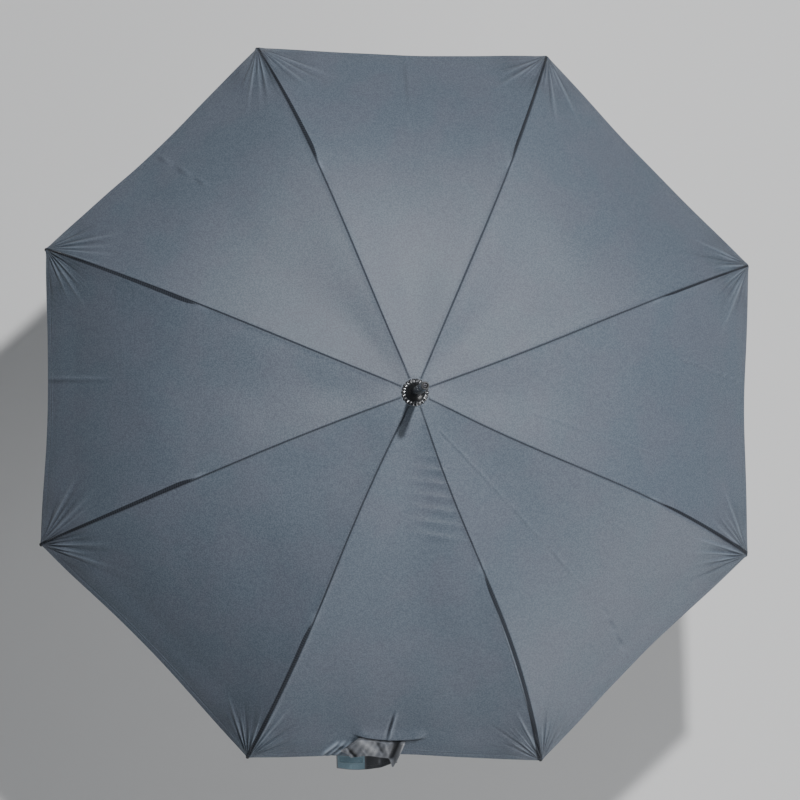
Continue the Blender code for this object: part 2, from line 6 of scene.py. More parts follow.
import bmesh
import bpy
import numpy as np
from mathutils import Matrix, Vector


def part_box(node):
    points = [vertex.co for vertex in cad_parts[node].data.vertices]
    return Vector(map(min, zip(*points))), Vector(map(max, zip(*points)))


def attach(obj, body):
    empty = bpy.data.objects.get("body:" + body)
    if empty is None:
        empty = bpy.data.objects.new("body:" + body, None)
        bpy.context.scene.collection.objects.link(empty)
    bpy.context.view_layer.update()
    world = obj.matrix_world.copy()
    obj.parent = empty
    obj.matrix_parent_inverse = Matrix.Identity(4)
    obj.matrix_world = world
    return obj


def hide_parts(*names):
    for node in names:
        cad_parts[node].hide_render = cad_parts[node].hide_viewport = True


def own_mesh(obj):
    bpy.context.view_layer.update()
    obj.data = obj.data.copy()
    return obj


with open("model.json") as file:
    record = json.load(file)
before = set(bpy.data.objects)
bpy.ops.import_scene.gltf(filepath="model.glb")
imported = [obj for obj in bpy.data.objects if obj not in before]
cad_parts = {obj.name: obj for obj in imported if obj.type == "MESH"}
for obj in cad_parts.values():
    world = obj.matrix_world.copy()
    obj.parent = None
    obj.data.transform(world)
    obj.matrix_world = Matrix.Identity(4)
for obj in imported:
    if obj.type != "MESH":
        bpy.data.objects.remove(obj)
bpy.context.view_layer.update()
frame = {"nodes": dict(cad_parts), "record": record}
joints = {joint["name"]: joint for joint in frame["record"]["behaviour"]["joints"]}

# Shaft
# A slim drawn steel tube, 8 mm across, polished along its length. Handling has left fine scratches and a
# few dull patches on it.


class Value:
    """A node's output. Arithmetic on it adds Math nodes, so a pattern is written as it is worked out."""

    def __init__(self, finish, socket):
        self.finish, self.socket = finish, socket

    def math(self, operation, *values):
        return self.finish.node("ShaderNodeMath", {"operation": operation}, *values)

    def __add__(self, other):
        return self.math("ADD", self, other)

    def __sub__(self, other):
        return self.math("SUBTRACT", self, other)

    def __rsub__(self, other):
        return self.math("SUBTRACT", other, self)

    def __mul__(self, other):
        return self.math("MULTIPLY", self, other)

    def __pow__(self, other):
        return self.math("POWER", self, other)

    __radd__, __rmul__ = __add__, __mul__

    def sin(self):
        return self.math("SINE", self)

    def size(self):
        return self.math("ABSOLUTE", self)

    def least(self, other):
        return self.math("MINIMUM", self, other)

    def most(self, other):
        return self.math("MAXIMUM", self, other)

    def between(self, low, high):
        """0 below low, 1 above high, and a smooth step from one to the other."""
        ends = {"From Min": low, "From Max": high}
        return self.finish.node("ShaderNodeMapRange", {"interpolation_type": "SMOOTHSTEP"}, self, **ends)


class Finish:
    """A material with one Principled shader. Settings given here are the same all over the surface."""

    def __init__(self, name, **constants):
        self.material = bpy.data.materials.new(name)
        self.material.use_nodes = True
        self.nodes = self.material.node_tree.nodes
        self.shader = self.nodes["Principled BSDF"]
        for socket, value in constants.items():
            self.shader.inputs[socket.replace("_", " ")].default_value = value

    def node(self, kind, settings, *values, give=0, **named):
        """A node of this kind. Its settings come first, then its sockets in order or by name."""
        made = self.nodes.new(kind)
        for setting, value in settings.items():
            setattr(made, setting, value)
        by_name = ((made.inputs[name], value) for name, value in named.items())
        for socket, value in [*zip(made.inputs, values), *by_name]:
            if isinstance(value, Value):
                self.material.node_tree.links.new(socket, value.socket)
            else:
                socket.default_value = value
        return Value(self, made.outputs[give])

    def place(self):
        return self.node("ShaderNodeTexCoord", {}, give="Object")

    def laid(self):
        """The piece's own UV map, in metres along the cloth."""
        return self.node("ShaderNodeUVMap", {"uv_map": "cloth"})

    def carried(self, attribute):
        return self.node("ShaderNodeAttribute", {"attribute_name": attribute}, give="Fac")

    def scaled(self, point, *scale):
        return self.node("ShaderNodeVectorMath", {"operation": "MULTIPLY"}, point, scale)

    def parts(self, point):
        split = self.node("ShaderNodeSeparateXYZ", {}, point).socket.node
        return [Value(self, output) for output in split.outputs]

    def noise(self, point, scale, detail=2.0, roughness=0.5):
        named = {"Scale": scale, "Detail": detail, "Roughness": roughness}
        return self.node("ShaderNodeTexNoise", {}, point, **named)

    def mix(self, share, first, second):
        """A colour between two colours."""
        made = self.node("ShaderNodeMix", {"data_type": "RGBA"}, share, give=2).socket.node
        for socket, value in ((made.inputs[6], first), (made.inputs[7], second)):
            if isinstance(value, Value):
                self.material.node_tree.links.new(socket, value.socket)
            else:
                socket.default_value = (*value, 1)
        return Value(self, made.outputs[2])

    def bump(self, height, depth):
        """A relief whose height of 1 stands this many metres proud."""
        return self.node("ShaderNodeBump", {}, **{"Height": height, "Distance": depth, "Strength": 1.0})

    def set(self, **varying):
        for socket, value in varying.items():
            self.material.node_tree.links.new(self.shader.inputs[socket.replace("_", " ")], value.socket)
        return self.material


def paint(material, *names):
    """Gives the CAD nodes of these names this material in all their slots."""
    for name in names:
        for slot in frame["nodes"][name].material_slots:
            slot.material = material


steel = Finish("drawn_steel", Metallic=1.0, IOR=2.6)
grain = steel.noise(steel.scaled(steel.place(), 5200, 5200, 30), 1.0, 4)
dulled = steel.noise(steel.scaled(steel.place(), 60, 60, 9), 1.0, 3).between(0.45, 0.75)
scratch = steel.noise(steel.scaled(steel.place(), 900, 900, 140), 1.0, 1).between(0.64, 0.68)
paint(
    steel.set(
        Base_Color=steel.mix(grain * 0.35 + dulled * 0.4, (0.62, 0.63, 0.65), (0.40, 0.41, 0.43)),
        Roughness=grain * 0.14 + dulled * 0.16 + scratch * 0.1 + 0.16,
        Normal=steel.bump(grain * 0.7 - scratch, 0.00001),
    ),
    "shaft",
)

# End cap
# A moulded rubber cap pushed over the tube's lower end. Its side is ribbed with fine moulded rings and it
# is scuffed grey where it is stood on.

rubber = Finish("cap_rubber", IOR=1.52)
east, north, height = rubber.parts(rubber.place())
ribbed = (1 - height.between(0.0105, 0.0115)) * height.between(0.002, 0.003)
rings = (height * (2 * math.pi / 0.0016)).sin() * ribbed
speckle = rubber.noise(rubber.place(), 2600, 3)
scuffed = (1 - height.between(0.0004, 0.0028)) * rubber.noise(rubber.place(), 700, 3).between(0.35, 0.6)
paint(
    rubber.set(
        Base_Color=rubber.mix(scuffed * 0.8 + speckle * 0.1, (0.013, 0.013, 0.014), (0.10, 0.098, 0.094)),
        Roughness=speckle * 0.18 + scuffed * 0.15 + 0.58,
        Normal=rubber.bump(rings * 0.8 + speckle * 0.12, 0.00025),
    ),
    "end_cap",
)

# Hinge wires, pins and catches
# Bright spring wire, drawn and cut. The two rings hold the ribs in the crown and the stretchers in the
# runner, and the catches are filed leaves of the same steel.

wire = Finish("spring_wire", Metallic=1.0, IOR=2.6)
drawn = wire.noise(wire.scaled(wire.place(), 900, 900, 2600), 1.0, 3)
tarnish = wire.noise(wire.place(), 420, 3).between(0.5, 0.75)
paint(
    wire.set(
        Base_Color=wire.mix(tarnish * 0.6, (0.60, 0.60, 0.61), (0.34, 0.31, 0.27)),
        Roughness=drawn * 0.15 + tarnish * 0.22 + 0.2,
        Normal=wire.bump(drawn, 0.000012),
    ),
    *("crown_wire", "crown_pin", "stop_pin", "runner_wire", "open_catch", "closed_catch"),
)

# Crown, runner and rib tips
# Black moulded plastic with a fine spark-eroded grain. The edges that fingers and steel rub are polished
# and a little paler, and there is dust in the notches.

plastic = Finish("moulded_plastic", IOR=1.49)
eroded = plastic.noise(plastic.place(), 3800, 3, 0.6)
flow = plastic.noise(plastic.scaled(plastic.place(), 90, 90, 35), 1.0, 3)
rubbed = plastic.noise(plastic.place(), 75, 2).between(0.5, 0.7)
dust = plastic.noise(plastic.place(), 260, 4, 0.65).between(0.56, 0.72)
paled = rubbed * 0.35 + dust * 0.25 + flow * 0.1
black_plastic = plastic.set(
    Base_Color=plastic.mix(paled, (0.012, 0.012, 0.013), (0.09, 0.09, 0.092)),
    Roughness=eroded * 0.2 + flow * 0.12 - rubbed * 0.12 + dust * 0.1 + 0.3,
    Normal=plastic.bump(eroded, 0.00004),
)
paint(black_plastic, "crown", "runner", *(f"rib_tip_{i}" for i in range(1, 9)))

# Ribs and stretchers
# Steel strip rolled to a channel and blacked. The rolling leaves lines along it, and the black is worn to
# bare metal along the edges near the rivets.

blacked = Finish("blacked_steel", IOR=1.6)
rolling = blacked.noise(blacked.scaled(blacked.place(), 500, 500, 2200), 1.0, 3)
hinge_radius = math.hypot(*joints["rod_flex_1"]["pos_m"][:2])
east, north, height = blacked.parts(blacked.place())
from_shaft = (east * east + north * north) ** 0.5
near_rivet = 1 - (from_shaft - hinge_radius).size().between(0.004, 0.016)
near_rings = 1 - from_shaft.between(0.014, 0.030)
worn = near_rivet.most(near_rings) * blacked.noise(blacked.place(), 900, 4, 0.6).between(0.42, 0.6)
oily = blacked.noise(blacked.place(), 55, 3)
paint(
    blacked.set(
        Base_Color=blacked.mix(worn, (0.022, 0.022, 0.025), (0.42, 0.42, 0.43)),
        Metallic=worn * 0.7 + 0.3,
        Roughness=oily * 0.16 + rolling * 0.1 + 0.28,
        Normal=blacked.bump(rolling - worn * 0.6, 0.00003),
    ),
    *(f"{kind}_{i}" for kind in ("rib", "stretcher") for i in range(1, 9)),
)

# Rods
# Pultruded glass fibre, black, with the fibres' fine lines along it and a gloss that shows their relief.

fibre = Finish("glass_fibre", IOR=1.54, Coat_Weight=0.35, Coat_Roughness=0.12)
strand = fibre.noise(fibre.scaled(fibre.place(), 1500, 1500, 3600), 1.0, 4, 0.6)
resin = fibre.noise(fibre.place(), 120, 3)
paint(
    fibre.set(
        Base_Color=fibre.mix(strand * 0.5 + resin * 0.2, (0.010, 0.010, 0.011), (0.045, 0.044, 0.042)),
        Roughness=strand * 0.16 + resin * 0.12 + 0.22,
        Normal=fibre.bump(strand, 0.00003),
    ),
    *(f"rod_{i}" for i in range(1, 9)),
)

# Canopy
# Eight gores of slate satin-weave polyester, silver coated inside, sewn edge to edge over the ribs and
# hemmed: one stretched sheet that dips between the ribs and puckers at the corners, with seams that wander.
# Each gore is held by two ribs, so it is cut where those ribs' bodies meet, and the joins don't show.

SPAN = 1.0
GORES = 8
TURN = 2 * math.pi / GORES
CLOTH_THICKNESS = 0.0005
HOLE_RADIUS = 0.0065
WASHER_RADIUS = 0.018  # the cloth is flat as far as this, clamped under the washer
CORNER_RADIUS = SPAN / 2 - 0.001
HEM_HOLLOW = 0.012  # the share of its length by which a gore is cut short in the middle of its hem
GORE_LENGTH = 1.2 * CORNER_RADIUS  # metres of cloth for a step of 1 in share, close to the hem
SEAM_LENGTH = 1.12 * CORNER_RADIUS  # the same along a seam
FIRST_SLOPE, MORE_SLOPE, SLOPE_POWER = math.radians(5), math.radians(44), 1.8
crown_radius = math.hypot(*joints["fold"]["pos_m"][:2])
crown_height = joints["fold"]["pos_m"][2]
hinge_height = joints["rod_flex_1"]["pos_m"][2]
share_of_rib = np.linspace(0, 1, 2001)
rib_slope = FIRST_SLOPE + MORE_SLOPE * share_of_rib**SLOPE_POWER
half_steps = (rib_slope[1:] + rib_slope[:-1]) / 2
rib_reach = np.concatenate([[0], np.cumsum(np.cos(half_steps))])
rib_fall = np.concatenate([[0], np.cumsum(np.sin(half_steps))])
rib_step = (SPAN / 2 - crown_radius) / rib_reach[-1]
rib_radius = crown_radius + rib_step * rib_reach
rib_height = crown_height - rib_step * rib_fall

# How far each seam lies off its rib in millimetres, as a half wave and a whole wave from crown to corner.
SEAM_WANDER = [(-1.8, -1.6), (-2.5, 1.0), (-0.7, 1.2), (1.6, 0.3)]
SEAM_WANDER += [(-2.0, -1.2), (-2.4, -3.2), (2.2, -5.0), (1.0, -4.0)]


def ease(share):
    """0 to 1 along a smooth step: three times the square less twice the cube."""
    share = np.clip(share, 0, 1)
    return share * share * (3 - 2 * share)


def hill(offset, width):
    """A rounded ridge of height 1, a Gaussian of this width."""
    return np.exp(-((offset / width) ** 2))


def along_rib(share):
    """(radius, height) of the cloth over a rib: the rib's curve plus a lift, and flat under the washer."""
    radius = HOLE_RADIUS + share * (CORNER_RADIUS - HOLE_RADIUS)
    lift = 0.0035 + 0.0020 * ease((radius - SPAN / 2 + 0.045) / 0.030)
    slope = np.interp(radius, rib_radius, rib_slope)
    over = np.interp(radius, rib_radius, rib_height) + lift / np.cos(slope)
    washer_seat = crown_height + 0.0053
    gentle = washer_seat - math.tan(math.radians(4.5)) * np.clip(radius - WASHER_RADIUS, 0, None)
    stretched = ease((radius - WASHER_RADIUS) / 0.085)
    over = np.maximum(over, washer_seat * (radius < WASHER_RADIUS))
    return radius, over * stretched + gentle * (1 - stretched)


def wander(rib, share):
    half_wave, whole_wave = SEAM_WANDER[rib % GORES]
    return (half_wave * np.sin(math.pi * share) + whole_wave * np.sin(2 * math.pi * share)) / 1000


def bare_gore(gore, turn, share):
    """A gore without its folds: straight across between two ribs, less a dip and with a hem cut hollow."""
    middle = np.sin(math.pi * turn) ** 2
    radius, height = along_rib(share * (1 - HEM_HOLLOW * middle * share**4))
    first = math.radians(22.5) + TURN * gore
    east = radius * ((1 - turn) * math.cos(first) + turn * math.cos(first + TURN))
    north = radius * ((1 - turn) * math.sin(first) + turn * math.sin(first + TURN))
    dip = 0.006 * middle * ease((share - 0.03) / 0.3) * np.sqrt(np.clip(1 - share, 0, 1))
    return np.stack([east, north, height - dip], axis=-1)


def outward(surface, gore, turn, share):
    """Unit normals of a gore surface, from its steps across and along."""
    step = 0.0004
    across = surface(gore, np.clip(turn + step, 0, 1), share)
    across = across - surface(gore, np.clip(turn - step, 0, 1), share)
    along = surface(gore, turn, share + step) - surface(gore, turn, np.clip(share - step, 0, 1))
    normal = np.cross(along, across)
    return normal / np.linalg.norm(normal, axis=-1, keepdims=True)


# Tucks where the cloth folds over beside a seam: rib, side (1 is anticlockwise), the share of the length
# where each starts, its height, and its width at the start and at the corner, in millimetres.
TUCKS = [(3, -1, 0.66, 1.1, 6.0, 1.8), (2, 1, 0.68, 0.9, 4.0, 2.6), (7, -1, 0.50, 1.2, 4.6, 5.6)]
TUCKS += [(8, 1, 0.72, 1.1, 3.2, 4.8), (6, -1, 0.64, 1.0, 5.0, 3.8), (5, -1, 0.60, 1.1, 6.2, 2.4)]
TUCKS += [(4, 1, 0.60, 1.0, 5.6, 1.8), (1, -1, 0.72, 0.8, 3.2, 2.2)]
shuffle = np.random.default_rng(11)
PUCKERS_EACH = 19
PUCKERS = []  # at each corner: direction off the rib, length, height
for corner in range(GORES):
    evenly = np.linspace(-63, 63, PUCKERS_EACH)
    directions = np.radians(evenly + shuffle.uniform(-3, 3, PUCKERS_EACH))
    lengths = shuffle.uniform(0.030, 0.110, PUCKERS_EACH)
    up_or_down = np.where(np.arange(PUCKERS_EACH) % 2, 1, -0.7)
    heights = shuffle.uniform(0.7, 1.9, PUCKERS_EACH) * up_or_down / 1000
    PUCKERS.append(list(zip(directions, lengths, heights)))
# Creases left from when it was folded: where each starts and ends, seen from above, and its height.
CREASES = [((-0.322, 0.317), (-0.249, 0.263), 0.5), ((-0.459, 0.022), (-0.380, 0.020), 0.7)]
CREASES += [((0.300, -0.330), (0.255, -0.263), 0.5), ((0.030, -0.043), (0.242, -0.250), 0.35)]
CREASES += [((0.004, 0.455), (0.0, 0.345), 0.4), ((-0.005, -0.403), (-0.0122, -0.437), 1.9)]
CREASES += [((0.352, 0.060), (0.452, 0.035), 0.4), ((0.150, -0.020), (0.330, -0.070), 0.25)]
# Faint waves over the whole canopy, each with a heading, a length and a phase.
LEAST_WAVE, MOST_WAVE = (0, 0.08, 0), (math.pi, 0.21, 6.3)
WAVES = [tuple(map(shuffle.uniform, LEAST_WAVE, MOST_WAVE)) for _ in range(7)]
WAVE_HEIGHT = 0.00022
HEM_WIDTH, HEM_STITCH = 0.0075, 0.0062
TIED_GORE = 5  # the gore that faces -Y and has the tie strap on its hem


def seam_side(gore, turn, share, radius):
    """Signed distance from each of the gore's two seams, anticlockwise positive, with its rib's number."""
    chord = 2 * math.sin(TURN / 2) * radius
    yield gore + 1, turn * chord - wander(gore, share)
    yield (gore + 1) % GORES + 1, -(1 - turn) * chord - wander(gore + 1, share)


def line_off(place, start, end, soft):
    """(aside, there): distance from the line through two points seen from above, and 1 between them."""
    run = np.subtract(end, start)
    length = math.hypot(*run)
    east, north = place[..., 0] - start[0], place[..., 1] - start[1]
    ahead = east * run[0] / length + north * run[1] / length
    aside = east * run[1] / length - north * run[0] / length
    return aside, ease((ahead + 0.3 * soft) / soft) * (1 - ease((ahead - length + 0.7 * soft) / soft))


def folds(gore, turn, share):
    """(height, shade) of everything that stands off the bare gore. Shade is painted shade, 1 in a closed
    fold and 0 in the open; below 0 it is a painted highlight on ridges, crests and streaks."""
    radius = along_rib(share)[0]
    height, shade, painted_highlight = np.zeros((3, *radius.shape))
    middle = np.sin(math.pi * turn) ** 2
    from_corner = (1 - share) * SEAM_LENGTH
    clamped = ease((radius - 0.020) / 0.03)
    for rib, off in seam_side(gore, turn, share, radius):
        height += clamped * (0.0007 * hill(off, 0.0045) - 0.0011 * hill(off, 0.0010))
        # The groove along each seam is painted dark: painted shade.
        shade = np.maximum(shade, hill(off, 0.0014) * (0.72 + 0.2 * share))
        for tucked, side, first, tall, wide, narrow in TUCKS:
            if tucked == rib:
                there = ease((share - first + 0.05) / 0.11) * (1 - 0.6 * ease((share - 0.9) / 0.1))
                grown = (wide + (narrow - wide) * np.clip((share - first) / (1 - first), 0, 1)) / 1000
                grown = grown * (0.1 + 0.9 * ease((share - first + 0.05) / 0.09))
                into = off * side
                # A painted highlight where each tuck starts.
                painted_highlight += 0.28 * hill(share - first + 0.03, 0.016) * hill(into - grown, 0.004)
                height += there * tall / 1000 * hill(np.maximum(grown - into, 0), grown / 2) * hill(
                    np.maximum(into - grown, 0), 3 * grown
                )
                # The tuck's band is painted dark: painted shade under the fold.
                band = ease((into + 0.0007) / 0.0007) * ease((grown - into) / 0.0007)
                shade = np.maximum(shade, ease(there * 2) * band)
        away, bearing = np.hypot(from_corner, off), np.arctan2(off, np.maximum(from_corner, 1e-6))
        for direction, length, tall in PUCKERS[rib - 1]:
            reach = ease(away / 0.016) * (1 - ease((away - 0.25 * length) / (0.75 * length)))
            pinch = reach * hill((bearing - direction) * away, 0.0008 + 0.026 * away)
            height += tall * pinch
            # Pucker grooves are painted dark and pucker crests painted light: painted shade and painted
            # highlight.
            if tall < 0:
                shade = np.maximum(shade, 0.42 * pinch)
            else:
                painted_highlight += 0.34 * pinch
    place = bare_gore(gore, turn, share)
    for heading, length, phase in WAVES:
        forth = place[..., 0] * math.cos(heading) + place[..., 1] * math.sin(heading)
        height += WAVE_HEIGHT * np.sqrt(middle) * clamped * np.sin(2 * math.pi * forth / length + phase)
    for start, end, tall in CREASES:
        aside, there = line_off(place, start, end, 0.02)
        height += there * tall / 1000 * (hill(aside, 0.0022) - 0.6 * hill(aside - 0.004, 0.0022))
        # A painted shade line beside each crease and a painted highlight on its crest.
        shade = np.maximum(shade, 0.45 * tall * there * hill(aside - 0.0026, 0.0011))
        painted_highlight += 0.20 * tall * there * hill(aside, 0.0013)
    if gore == TIED_GORE:  # the slack at the tie: a fold hangs over it, and its edge curves to both sides
        east, north = place[..., 0], place[..., 1]
        edge = north + 0.4372 - 2.4 * (east + 0.005) ** 2
        there = ease((east + 0.062) / 0.02) * (1 - ease((east - 0.022) / 0.018))
        height += 0.0030 * there * ease((edge + 0.0008) / 0.0016) * hill(np.maximum(edge, 0), 0.010)
        # A painted shadow line under the hanging fold's edge.
        shade = np.maximum(shade, 1.2 * there * hill(edge + 0.0008, 0.0014))
        for ridge in np.linspace(-0.082, -0.180, 7):
            there = hill(east - 0.036, 0.030) * ease((turn - 0.3) / 0.2)
            height += 0.0008 * there * hill(north - ridge + 0.12 * (east - 0.036), 0.0042)
        for streak in (-0.097, -0.089, -0.080):
            aside, there = line_off(place, (streak, -0.4565), (streak + 0.021, -0.4395), 0.012)
            height += 0.0016 * there * (hill(aside, 0.0024) - 0.6 * hill(aside - 0.0040, 0.0016))
            # A painted shade line beside each streak and a painted highlight on it.
            shade = np.maximum(shade, 0.6 * there * hill(aside - 0.0040, 0.0014))
            painted_highlight += there * hill(aside, 0.0020)
    # A ring of painted shadow round the washer's edge.
    shade = np.maximum(shade, 0.75 * hill(radius - 0.0188, 0.0009))
    from_hem = (1 - share) * GORE_LENGTH
    height += 0.0004 * (1 - ease((from_hem - HEM_WIDTH) / 0.0012))
    height -= 0.00035 * hill(from_hem - HEM_STITCH, 0.0008)
    return height, shade - painted_highlight * (1 - np.minimum(shade, 1))


def draped_gore(gore, turn, share):
    bare = bare_gore(gore, turn, share)
    return bare + folds(gore, turn, share)[0][..., None] * outward(bare_gore, gore, turn, share)


def grid_faces(rows, columns, start=0):
    """Quads of a grid of vertices, wound so that rows crossed with columns points out."""
    corner = start + np.arange(rows - 1)[:, None] * columns + np.arange(columns - 1)
    return np.stack([corner, corner + columns, corner + columns + 1, corner + 1], axis=-1).reshape(-1, 4)


def cloth_shell(name, gore, turn, share, materials):
    """A grid of a gore and the same grid one thickness under it, closed by a wall along all four edges."""
    rows, columns = turn.shape
    top = draped_gore(gore, turn, share)
    normal = outward(draped_gore, gore, turn, share)
    points = np.concatenate([top.reshape(-1, 3), (top - CLOTH_THICKNESS * normal).reshape(-1, 3)])
    normals = np.concatenate([normal.reshape(-1, 3), -normal.reshape(-1, 3)])
    upper = grid_faces(rows, columns)
    if np.dot(np.cross(top[1, 0] - top[0, 0], top[0, 1] - top[0, 0]), normal[0, 0]) < 0:
        upper = upper[:, ::-1]
    lower = upper[:, ::-1] + rows * columns
    index = np.arange(rows * columns).reshape(rows, columns)
    rim = np.concatenate([index[0, :-1], index[:-1, -1], index[-1, :0:-1], index[:0:-1, 0]])
    following = np.roll(rim, -1)
    wall = np.stack([rim, following, following + rows * columns, rim + rows * columns], axis=-1)
    if np.array_equal(upper[0], grid_faces(rows, columns)[0]):
        wall = wall[:, ::-1]
    faces = np.concatenate([upper, lower, wall])
    mesh = bpy.data.meshes.new(name)
    mesh.from_pydata(points, [], faces)
    for material in materials:
        mesh.materials.append(material)
    slots = np.zeros(len(faces), np.int32)
    slots[len(upper) : len(upper) + len(lower)] = 1
    mesh.polygons.foreach_set("material_index", slots)
    mesh.polygons.foreach_set("use_smooth", np.ones(len(faces), bool))
    radius, shade = along_rib(share)[0], folds(gore, turn, share)[1]
    chord = 2 * math.sin(TURN / 2) * radius
    flat = np.stack([(turn - 0.5) * chord, share * CORNER_RADIUS * 1.06], axis=-1).reshape(-1, 2)
    corners = np.empty(len(mesh.loops), np.int32)
    mesh.loops.foreach_get("vertex_index", corners)
    layer = mesh.uv_layers.new(name="cloth")
    layer.data.foreach_set("uv", np.tile(flat, (2, 1))[corners].astype(np.float32).ravel())
    first, second = (off for _, off in seam_side(gore, turn, share, radius))
    off = np.where(turn < 0.5, first, second)
    from_corner = (1 - share) * SEAM_LENGTH
    fields = {
        "shade": shade,
        "from_seam": np.abs(off),
        "from_hem": (1 - share) * GORE_LENGTH,
        "from_corner": np.hypot(from_corner, off),
        "bearing": np.arctan2(off, np.maximum(from_corner, 1e-6)) + 3 * (gore + (turn > 0.5)),
    }
    for carried, field in fields.items():
        attribute = mesh.attributes.new(carried, "FLOAT", "POINT")
        attribute.data.foreach_set("value", np.tile(field.ravel(), 2).astype(np.float32))
    mesh.normals_split_custom_set_from_vertices(normals)
    piece = bpy.data.objects.new(name, mesh)
    bpy.context.collection.objects.link(piece)
    steps = np.cross(top[1:, :-1] - top[:-1, :-1], top[:-1, 1:] - top[:-1, :-1])
    area = float(np.linalg.norm(steps, axis=-1).sum())
    length = float(np.linalg.norm(np.diff(top, axis=0), axis=-1).sum(axis=0).max())
    width = float(np.linalg.norm(np.diff(top, axis=1), axis=-1).sum(axis=1).max())
    return piece, (width, length), area


satin = Finish("slate_satin", IOR=1.5, Specular_IOR_Level=0.62, Sheen_Weight=0.06, Sheen_Roughness=0.4)
across_cloth, along_cloth, _ = satin.parts(satin.laid())
THREAD = 0.00032
warp = (across_cloth * (2 * math.pi / THREAD)).sin()
weft = (along_cloth * (2 * math.pi / THREAD)).sin()
slubs = satin.noise(satin.scaled(satin.laid(), 40, 1400, 1), 1.0, 3, 0.6)
ends = satin.noise(satin.scaled(satin.laid(), 1400, 40, 1), 1.0, 3, 0.6)
speckle = satin.noise(satin.place(), 620, 3, 0.65)
clouding = satin.noise(satin.place(), 17, 4, 0.55)
handled = satin.noise(satin.place(), 6, 2)
seam_gap = satin.carried("from_seam")
ripple = (along_cloth * (2 * math.pi / 0.0068) + clouding * 9.0).sin()
ripple = ripple * (1 - seam_gap.between(0.002, 0.012))
hem_gap = satin.carried("from_hem")
dash = (across_cloth * (2 * math.pi / 0.0027)).sin().between(-0.2, 0.2)
stitch = (1 - (hem_gap - HEM_STITCH).size().between(0.0002, 0.0005)) * dash
from_corner, bearing = satin.carried("from_corner"), satin.carried("bearing")
fan = satin.node("ShaderNodeCombineXYZ", {}, bearing * 11, from_corner * 14, 0.5)
drawn_in = (1 - from_corner.between(0.012, 0.085)) * from_corner.between(0.002, 0.010)
fanned = satin.noise(fan, 1.0, 3, 0.6) * drawn_in
# Painted shade: the carried shade darkens the tone towards near black in folds, tucks, creases, seams and
# round the washer.
closed = satin.carried("shade").most(0.0) * ((along_cloth * (2 * math.pi / 0.0031)).sin() * 0.12 + 0.88)
tone = satin.mix(clouding.between(0.38, 0.62), (0.052, 0.073, 0.102), (0.065, 0.074, 0.104))
tone = satin.mix(speckle.between(0.38, 0.62) * 0.62 + (slubs + ends) * 0.15, tone, (0.135, 0.165, 0.205))
# Painted highlight: where the carried shade is below 0, and along fine streaks near each corner, the tone
# is made paler.
painted_gleam = (0.0 - satin.carried("shade")).most(fanned.between(0.56, 0.74) * 0.45).least(0.9)
tone = satin.mix(painted_gleam, tone, (0.30, 0.36, 0.44))
# Painted shade between the fine streaks near each corner.
painted_pucker_shade = drawn_in * (1 - fanned.between(0.24, 0.42)) * 0.25
tone = satin.mix((closed + stitch * 0.3 + painted_pucker_shade).least(0.95), tone, (0.003, 0.005, 0.011))
relief = warp * weft * 0.10 + speckle * 0.5 + (slubs + ends) * 0.35
relief = relief + ripple * 0.22 + fanned * 13.0 - stitch
slate_satin = satin.set(
    Base_Color=tone,
    Roughness=clouding * 0.10 + speckle * 0.12 + handled * 0.08 + closed * 0.6 + 0.36,
    Normal=satin.bump(relief, 0.00022),
)

lining = Finish("silver_lining", IOR=1.8)
across_lining, along_lining, _ = lining.parts(lining.laid())
coat_warp = (across_lining * (2 * math.pi / THREAD)).sin()
coat_weft = (along_lining * (2 * math.pi / THREAD)).sin()
coat_cloud = lining.noise(lining.place(), 26, 4, 0.6)
coat_grain = lining.noise(lining.place(), 900, 3, 0.6)
# Painted shade: the lining is darker and less metallic in the folds, from the same carried shade; the cloud
# mark is its own tone.
lining_fold_shade = lining.carried("shade").most(0.0).least(1.0)
silver_lining = lining.set(
    Base_Color=lining.mix(coat_cloud * 0.4 + lining_fold_shade * 0.5, (0.66, 0.67, 0.69), (0.38, 0.39, 0.41)),
    Metallic=0.82 - lining_fold_shade * 0.4,
    Roughness=coat_cloud * 0.16 + coat_grain * 0.14 + 0.24,
    Normal=lining.bump(coat_warp * coat_weft * 0.2 + coat_grain * 0.8 + coat_cloud * 0.8, 0.00018),
)


def across_half(clockwise, columns, crowding=0.75):
    """Turns across half a gore, from its rib to its middle, crowded together towards the seam."""
    step = np.linspace(0, 1, columns)
    off_rib = 0.5 * ((1 - crowding) * step + crowding * step**3)
    return 1 - off_rib if clockwise else off_rib


def share_at(turn, reach):
    """Share of the length where the bare gore is this far out, measured along the nearer rib."""
    radius = reach / (1 - np.minimum(turn, 1 - turn) * (1 - math.cos(TURN)))
    share = (radius - HOLE_RADIUS) / (CORNER_RADIUS - HOLE_RADIUS)
    return share * (1 + HEM_HOLLOW * np.sin(math.pi * turn) ** 2 * share**4)


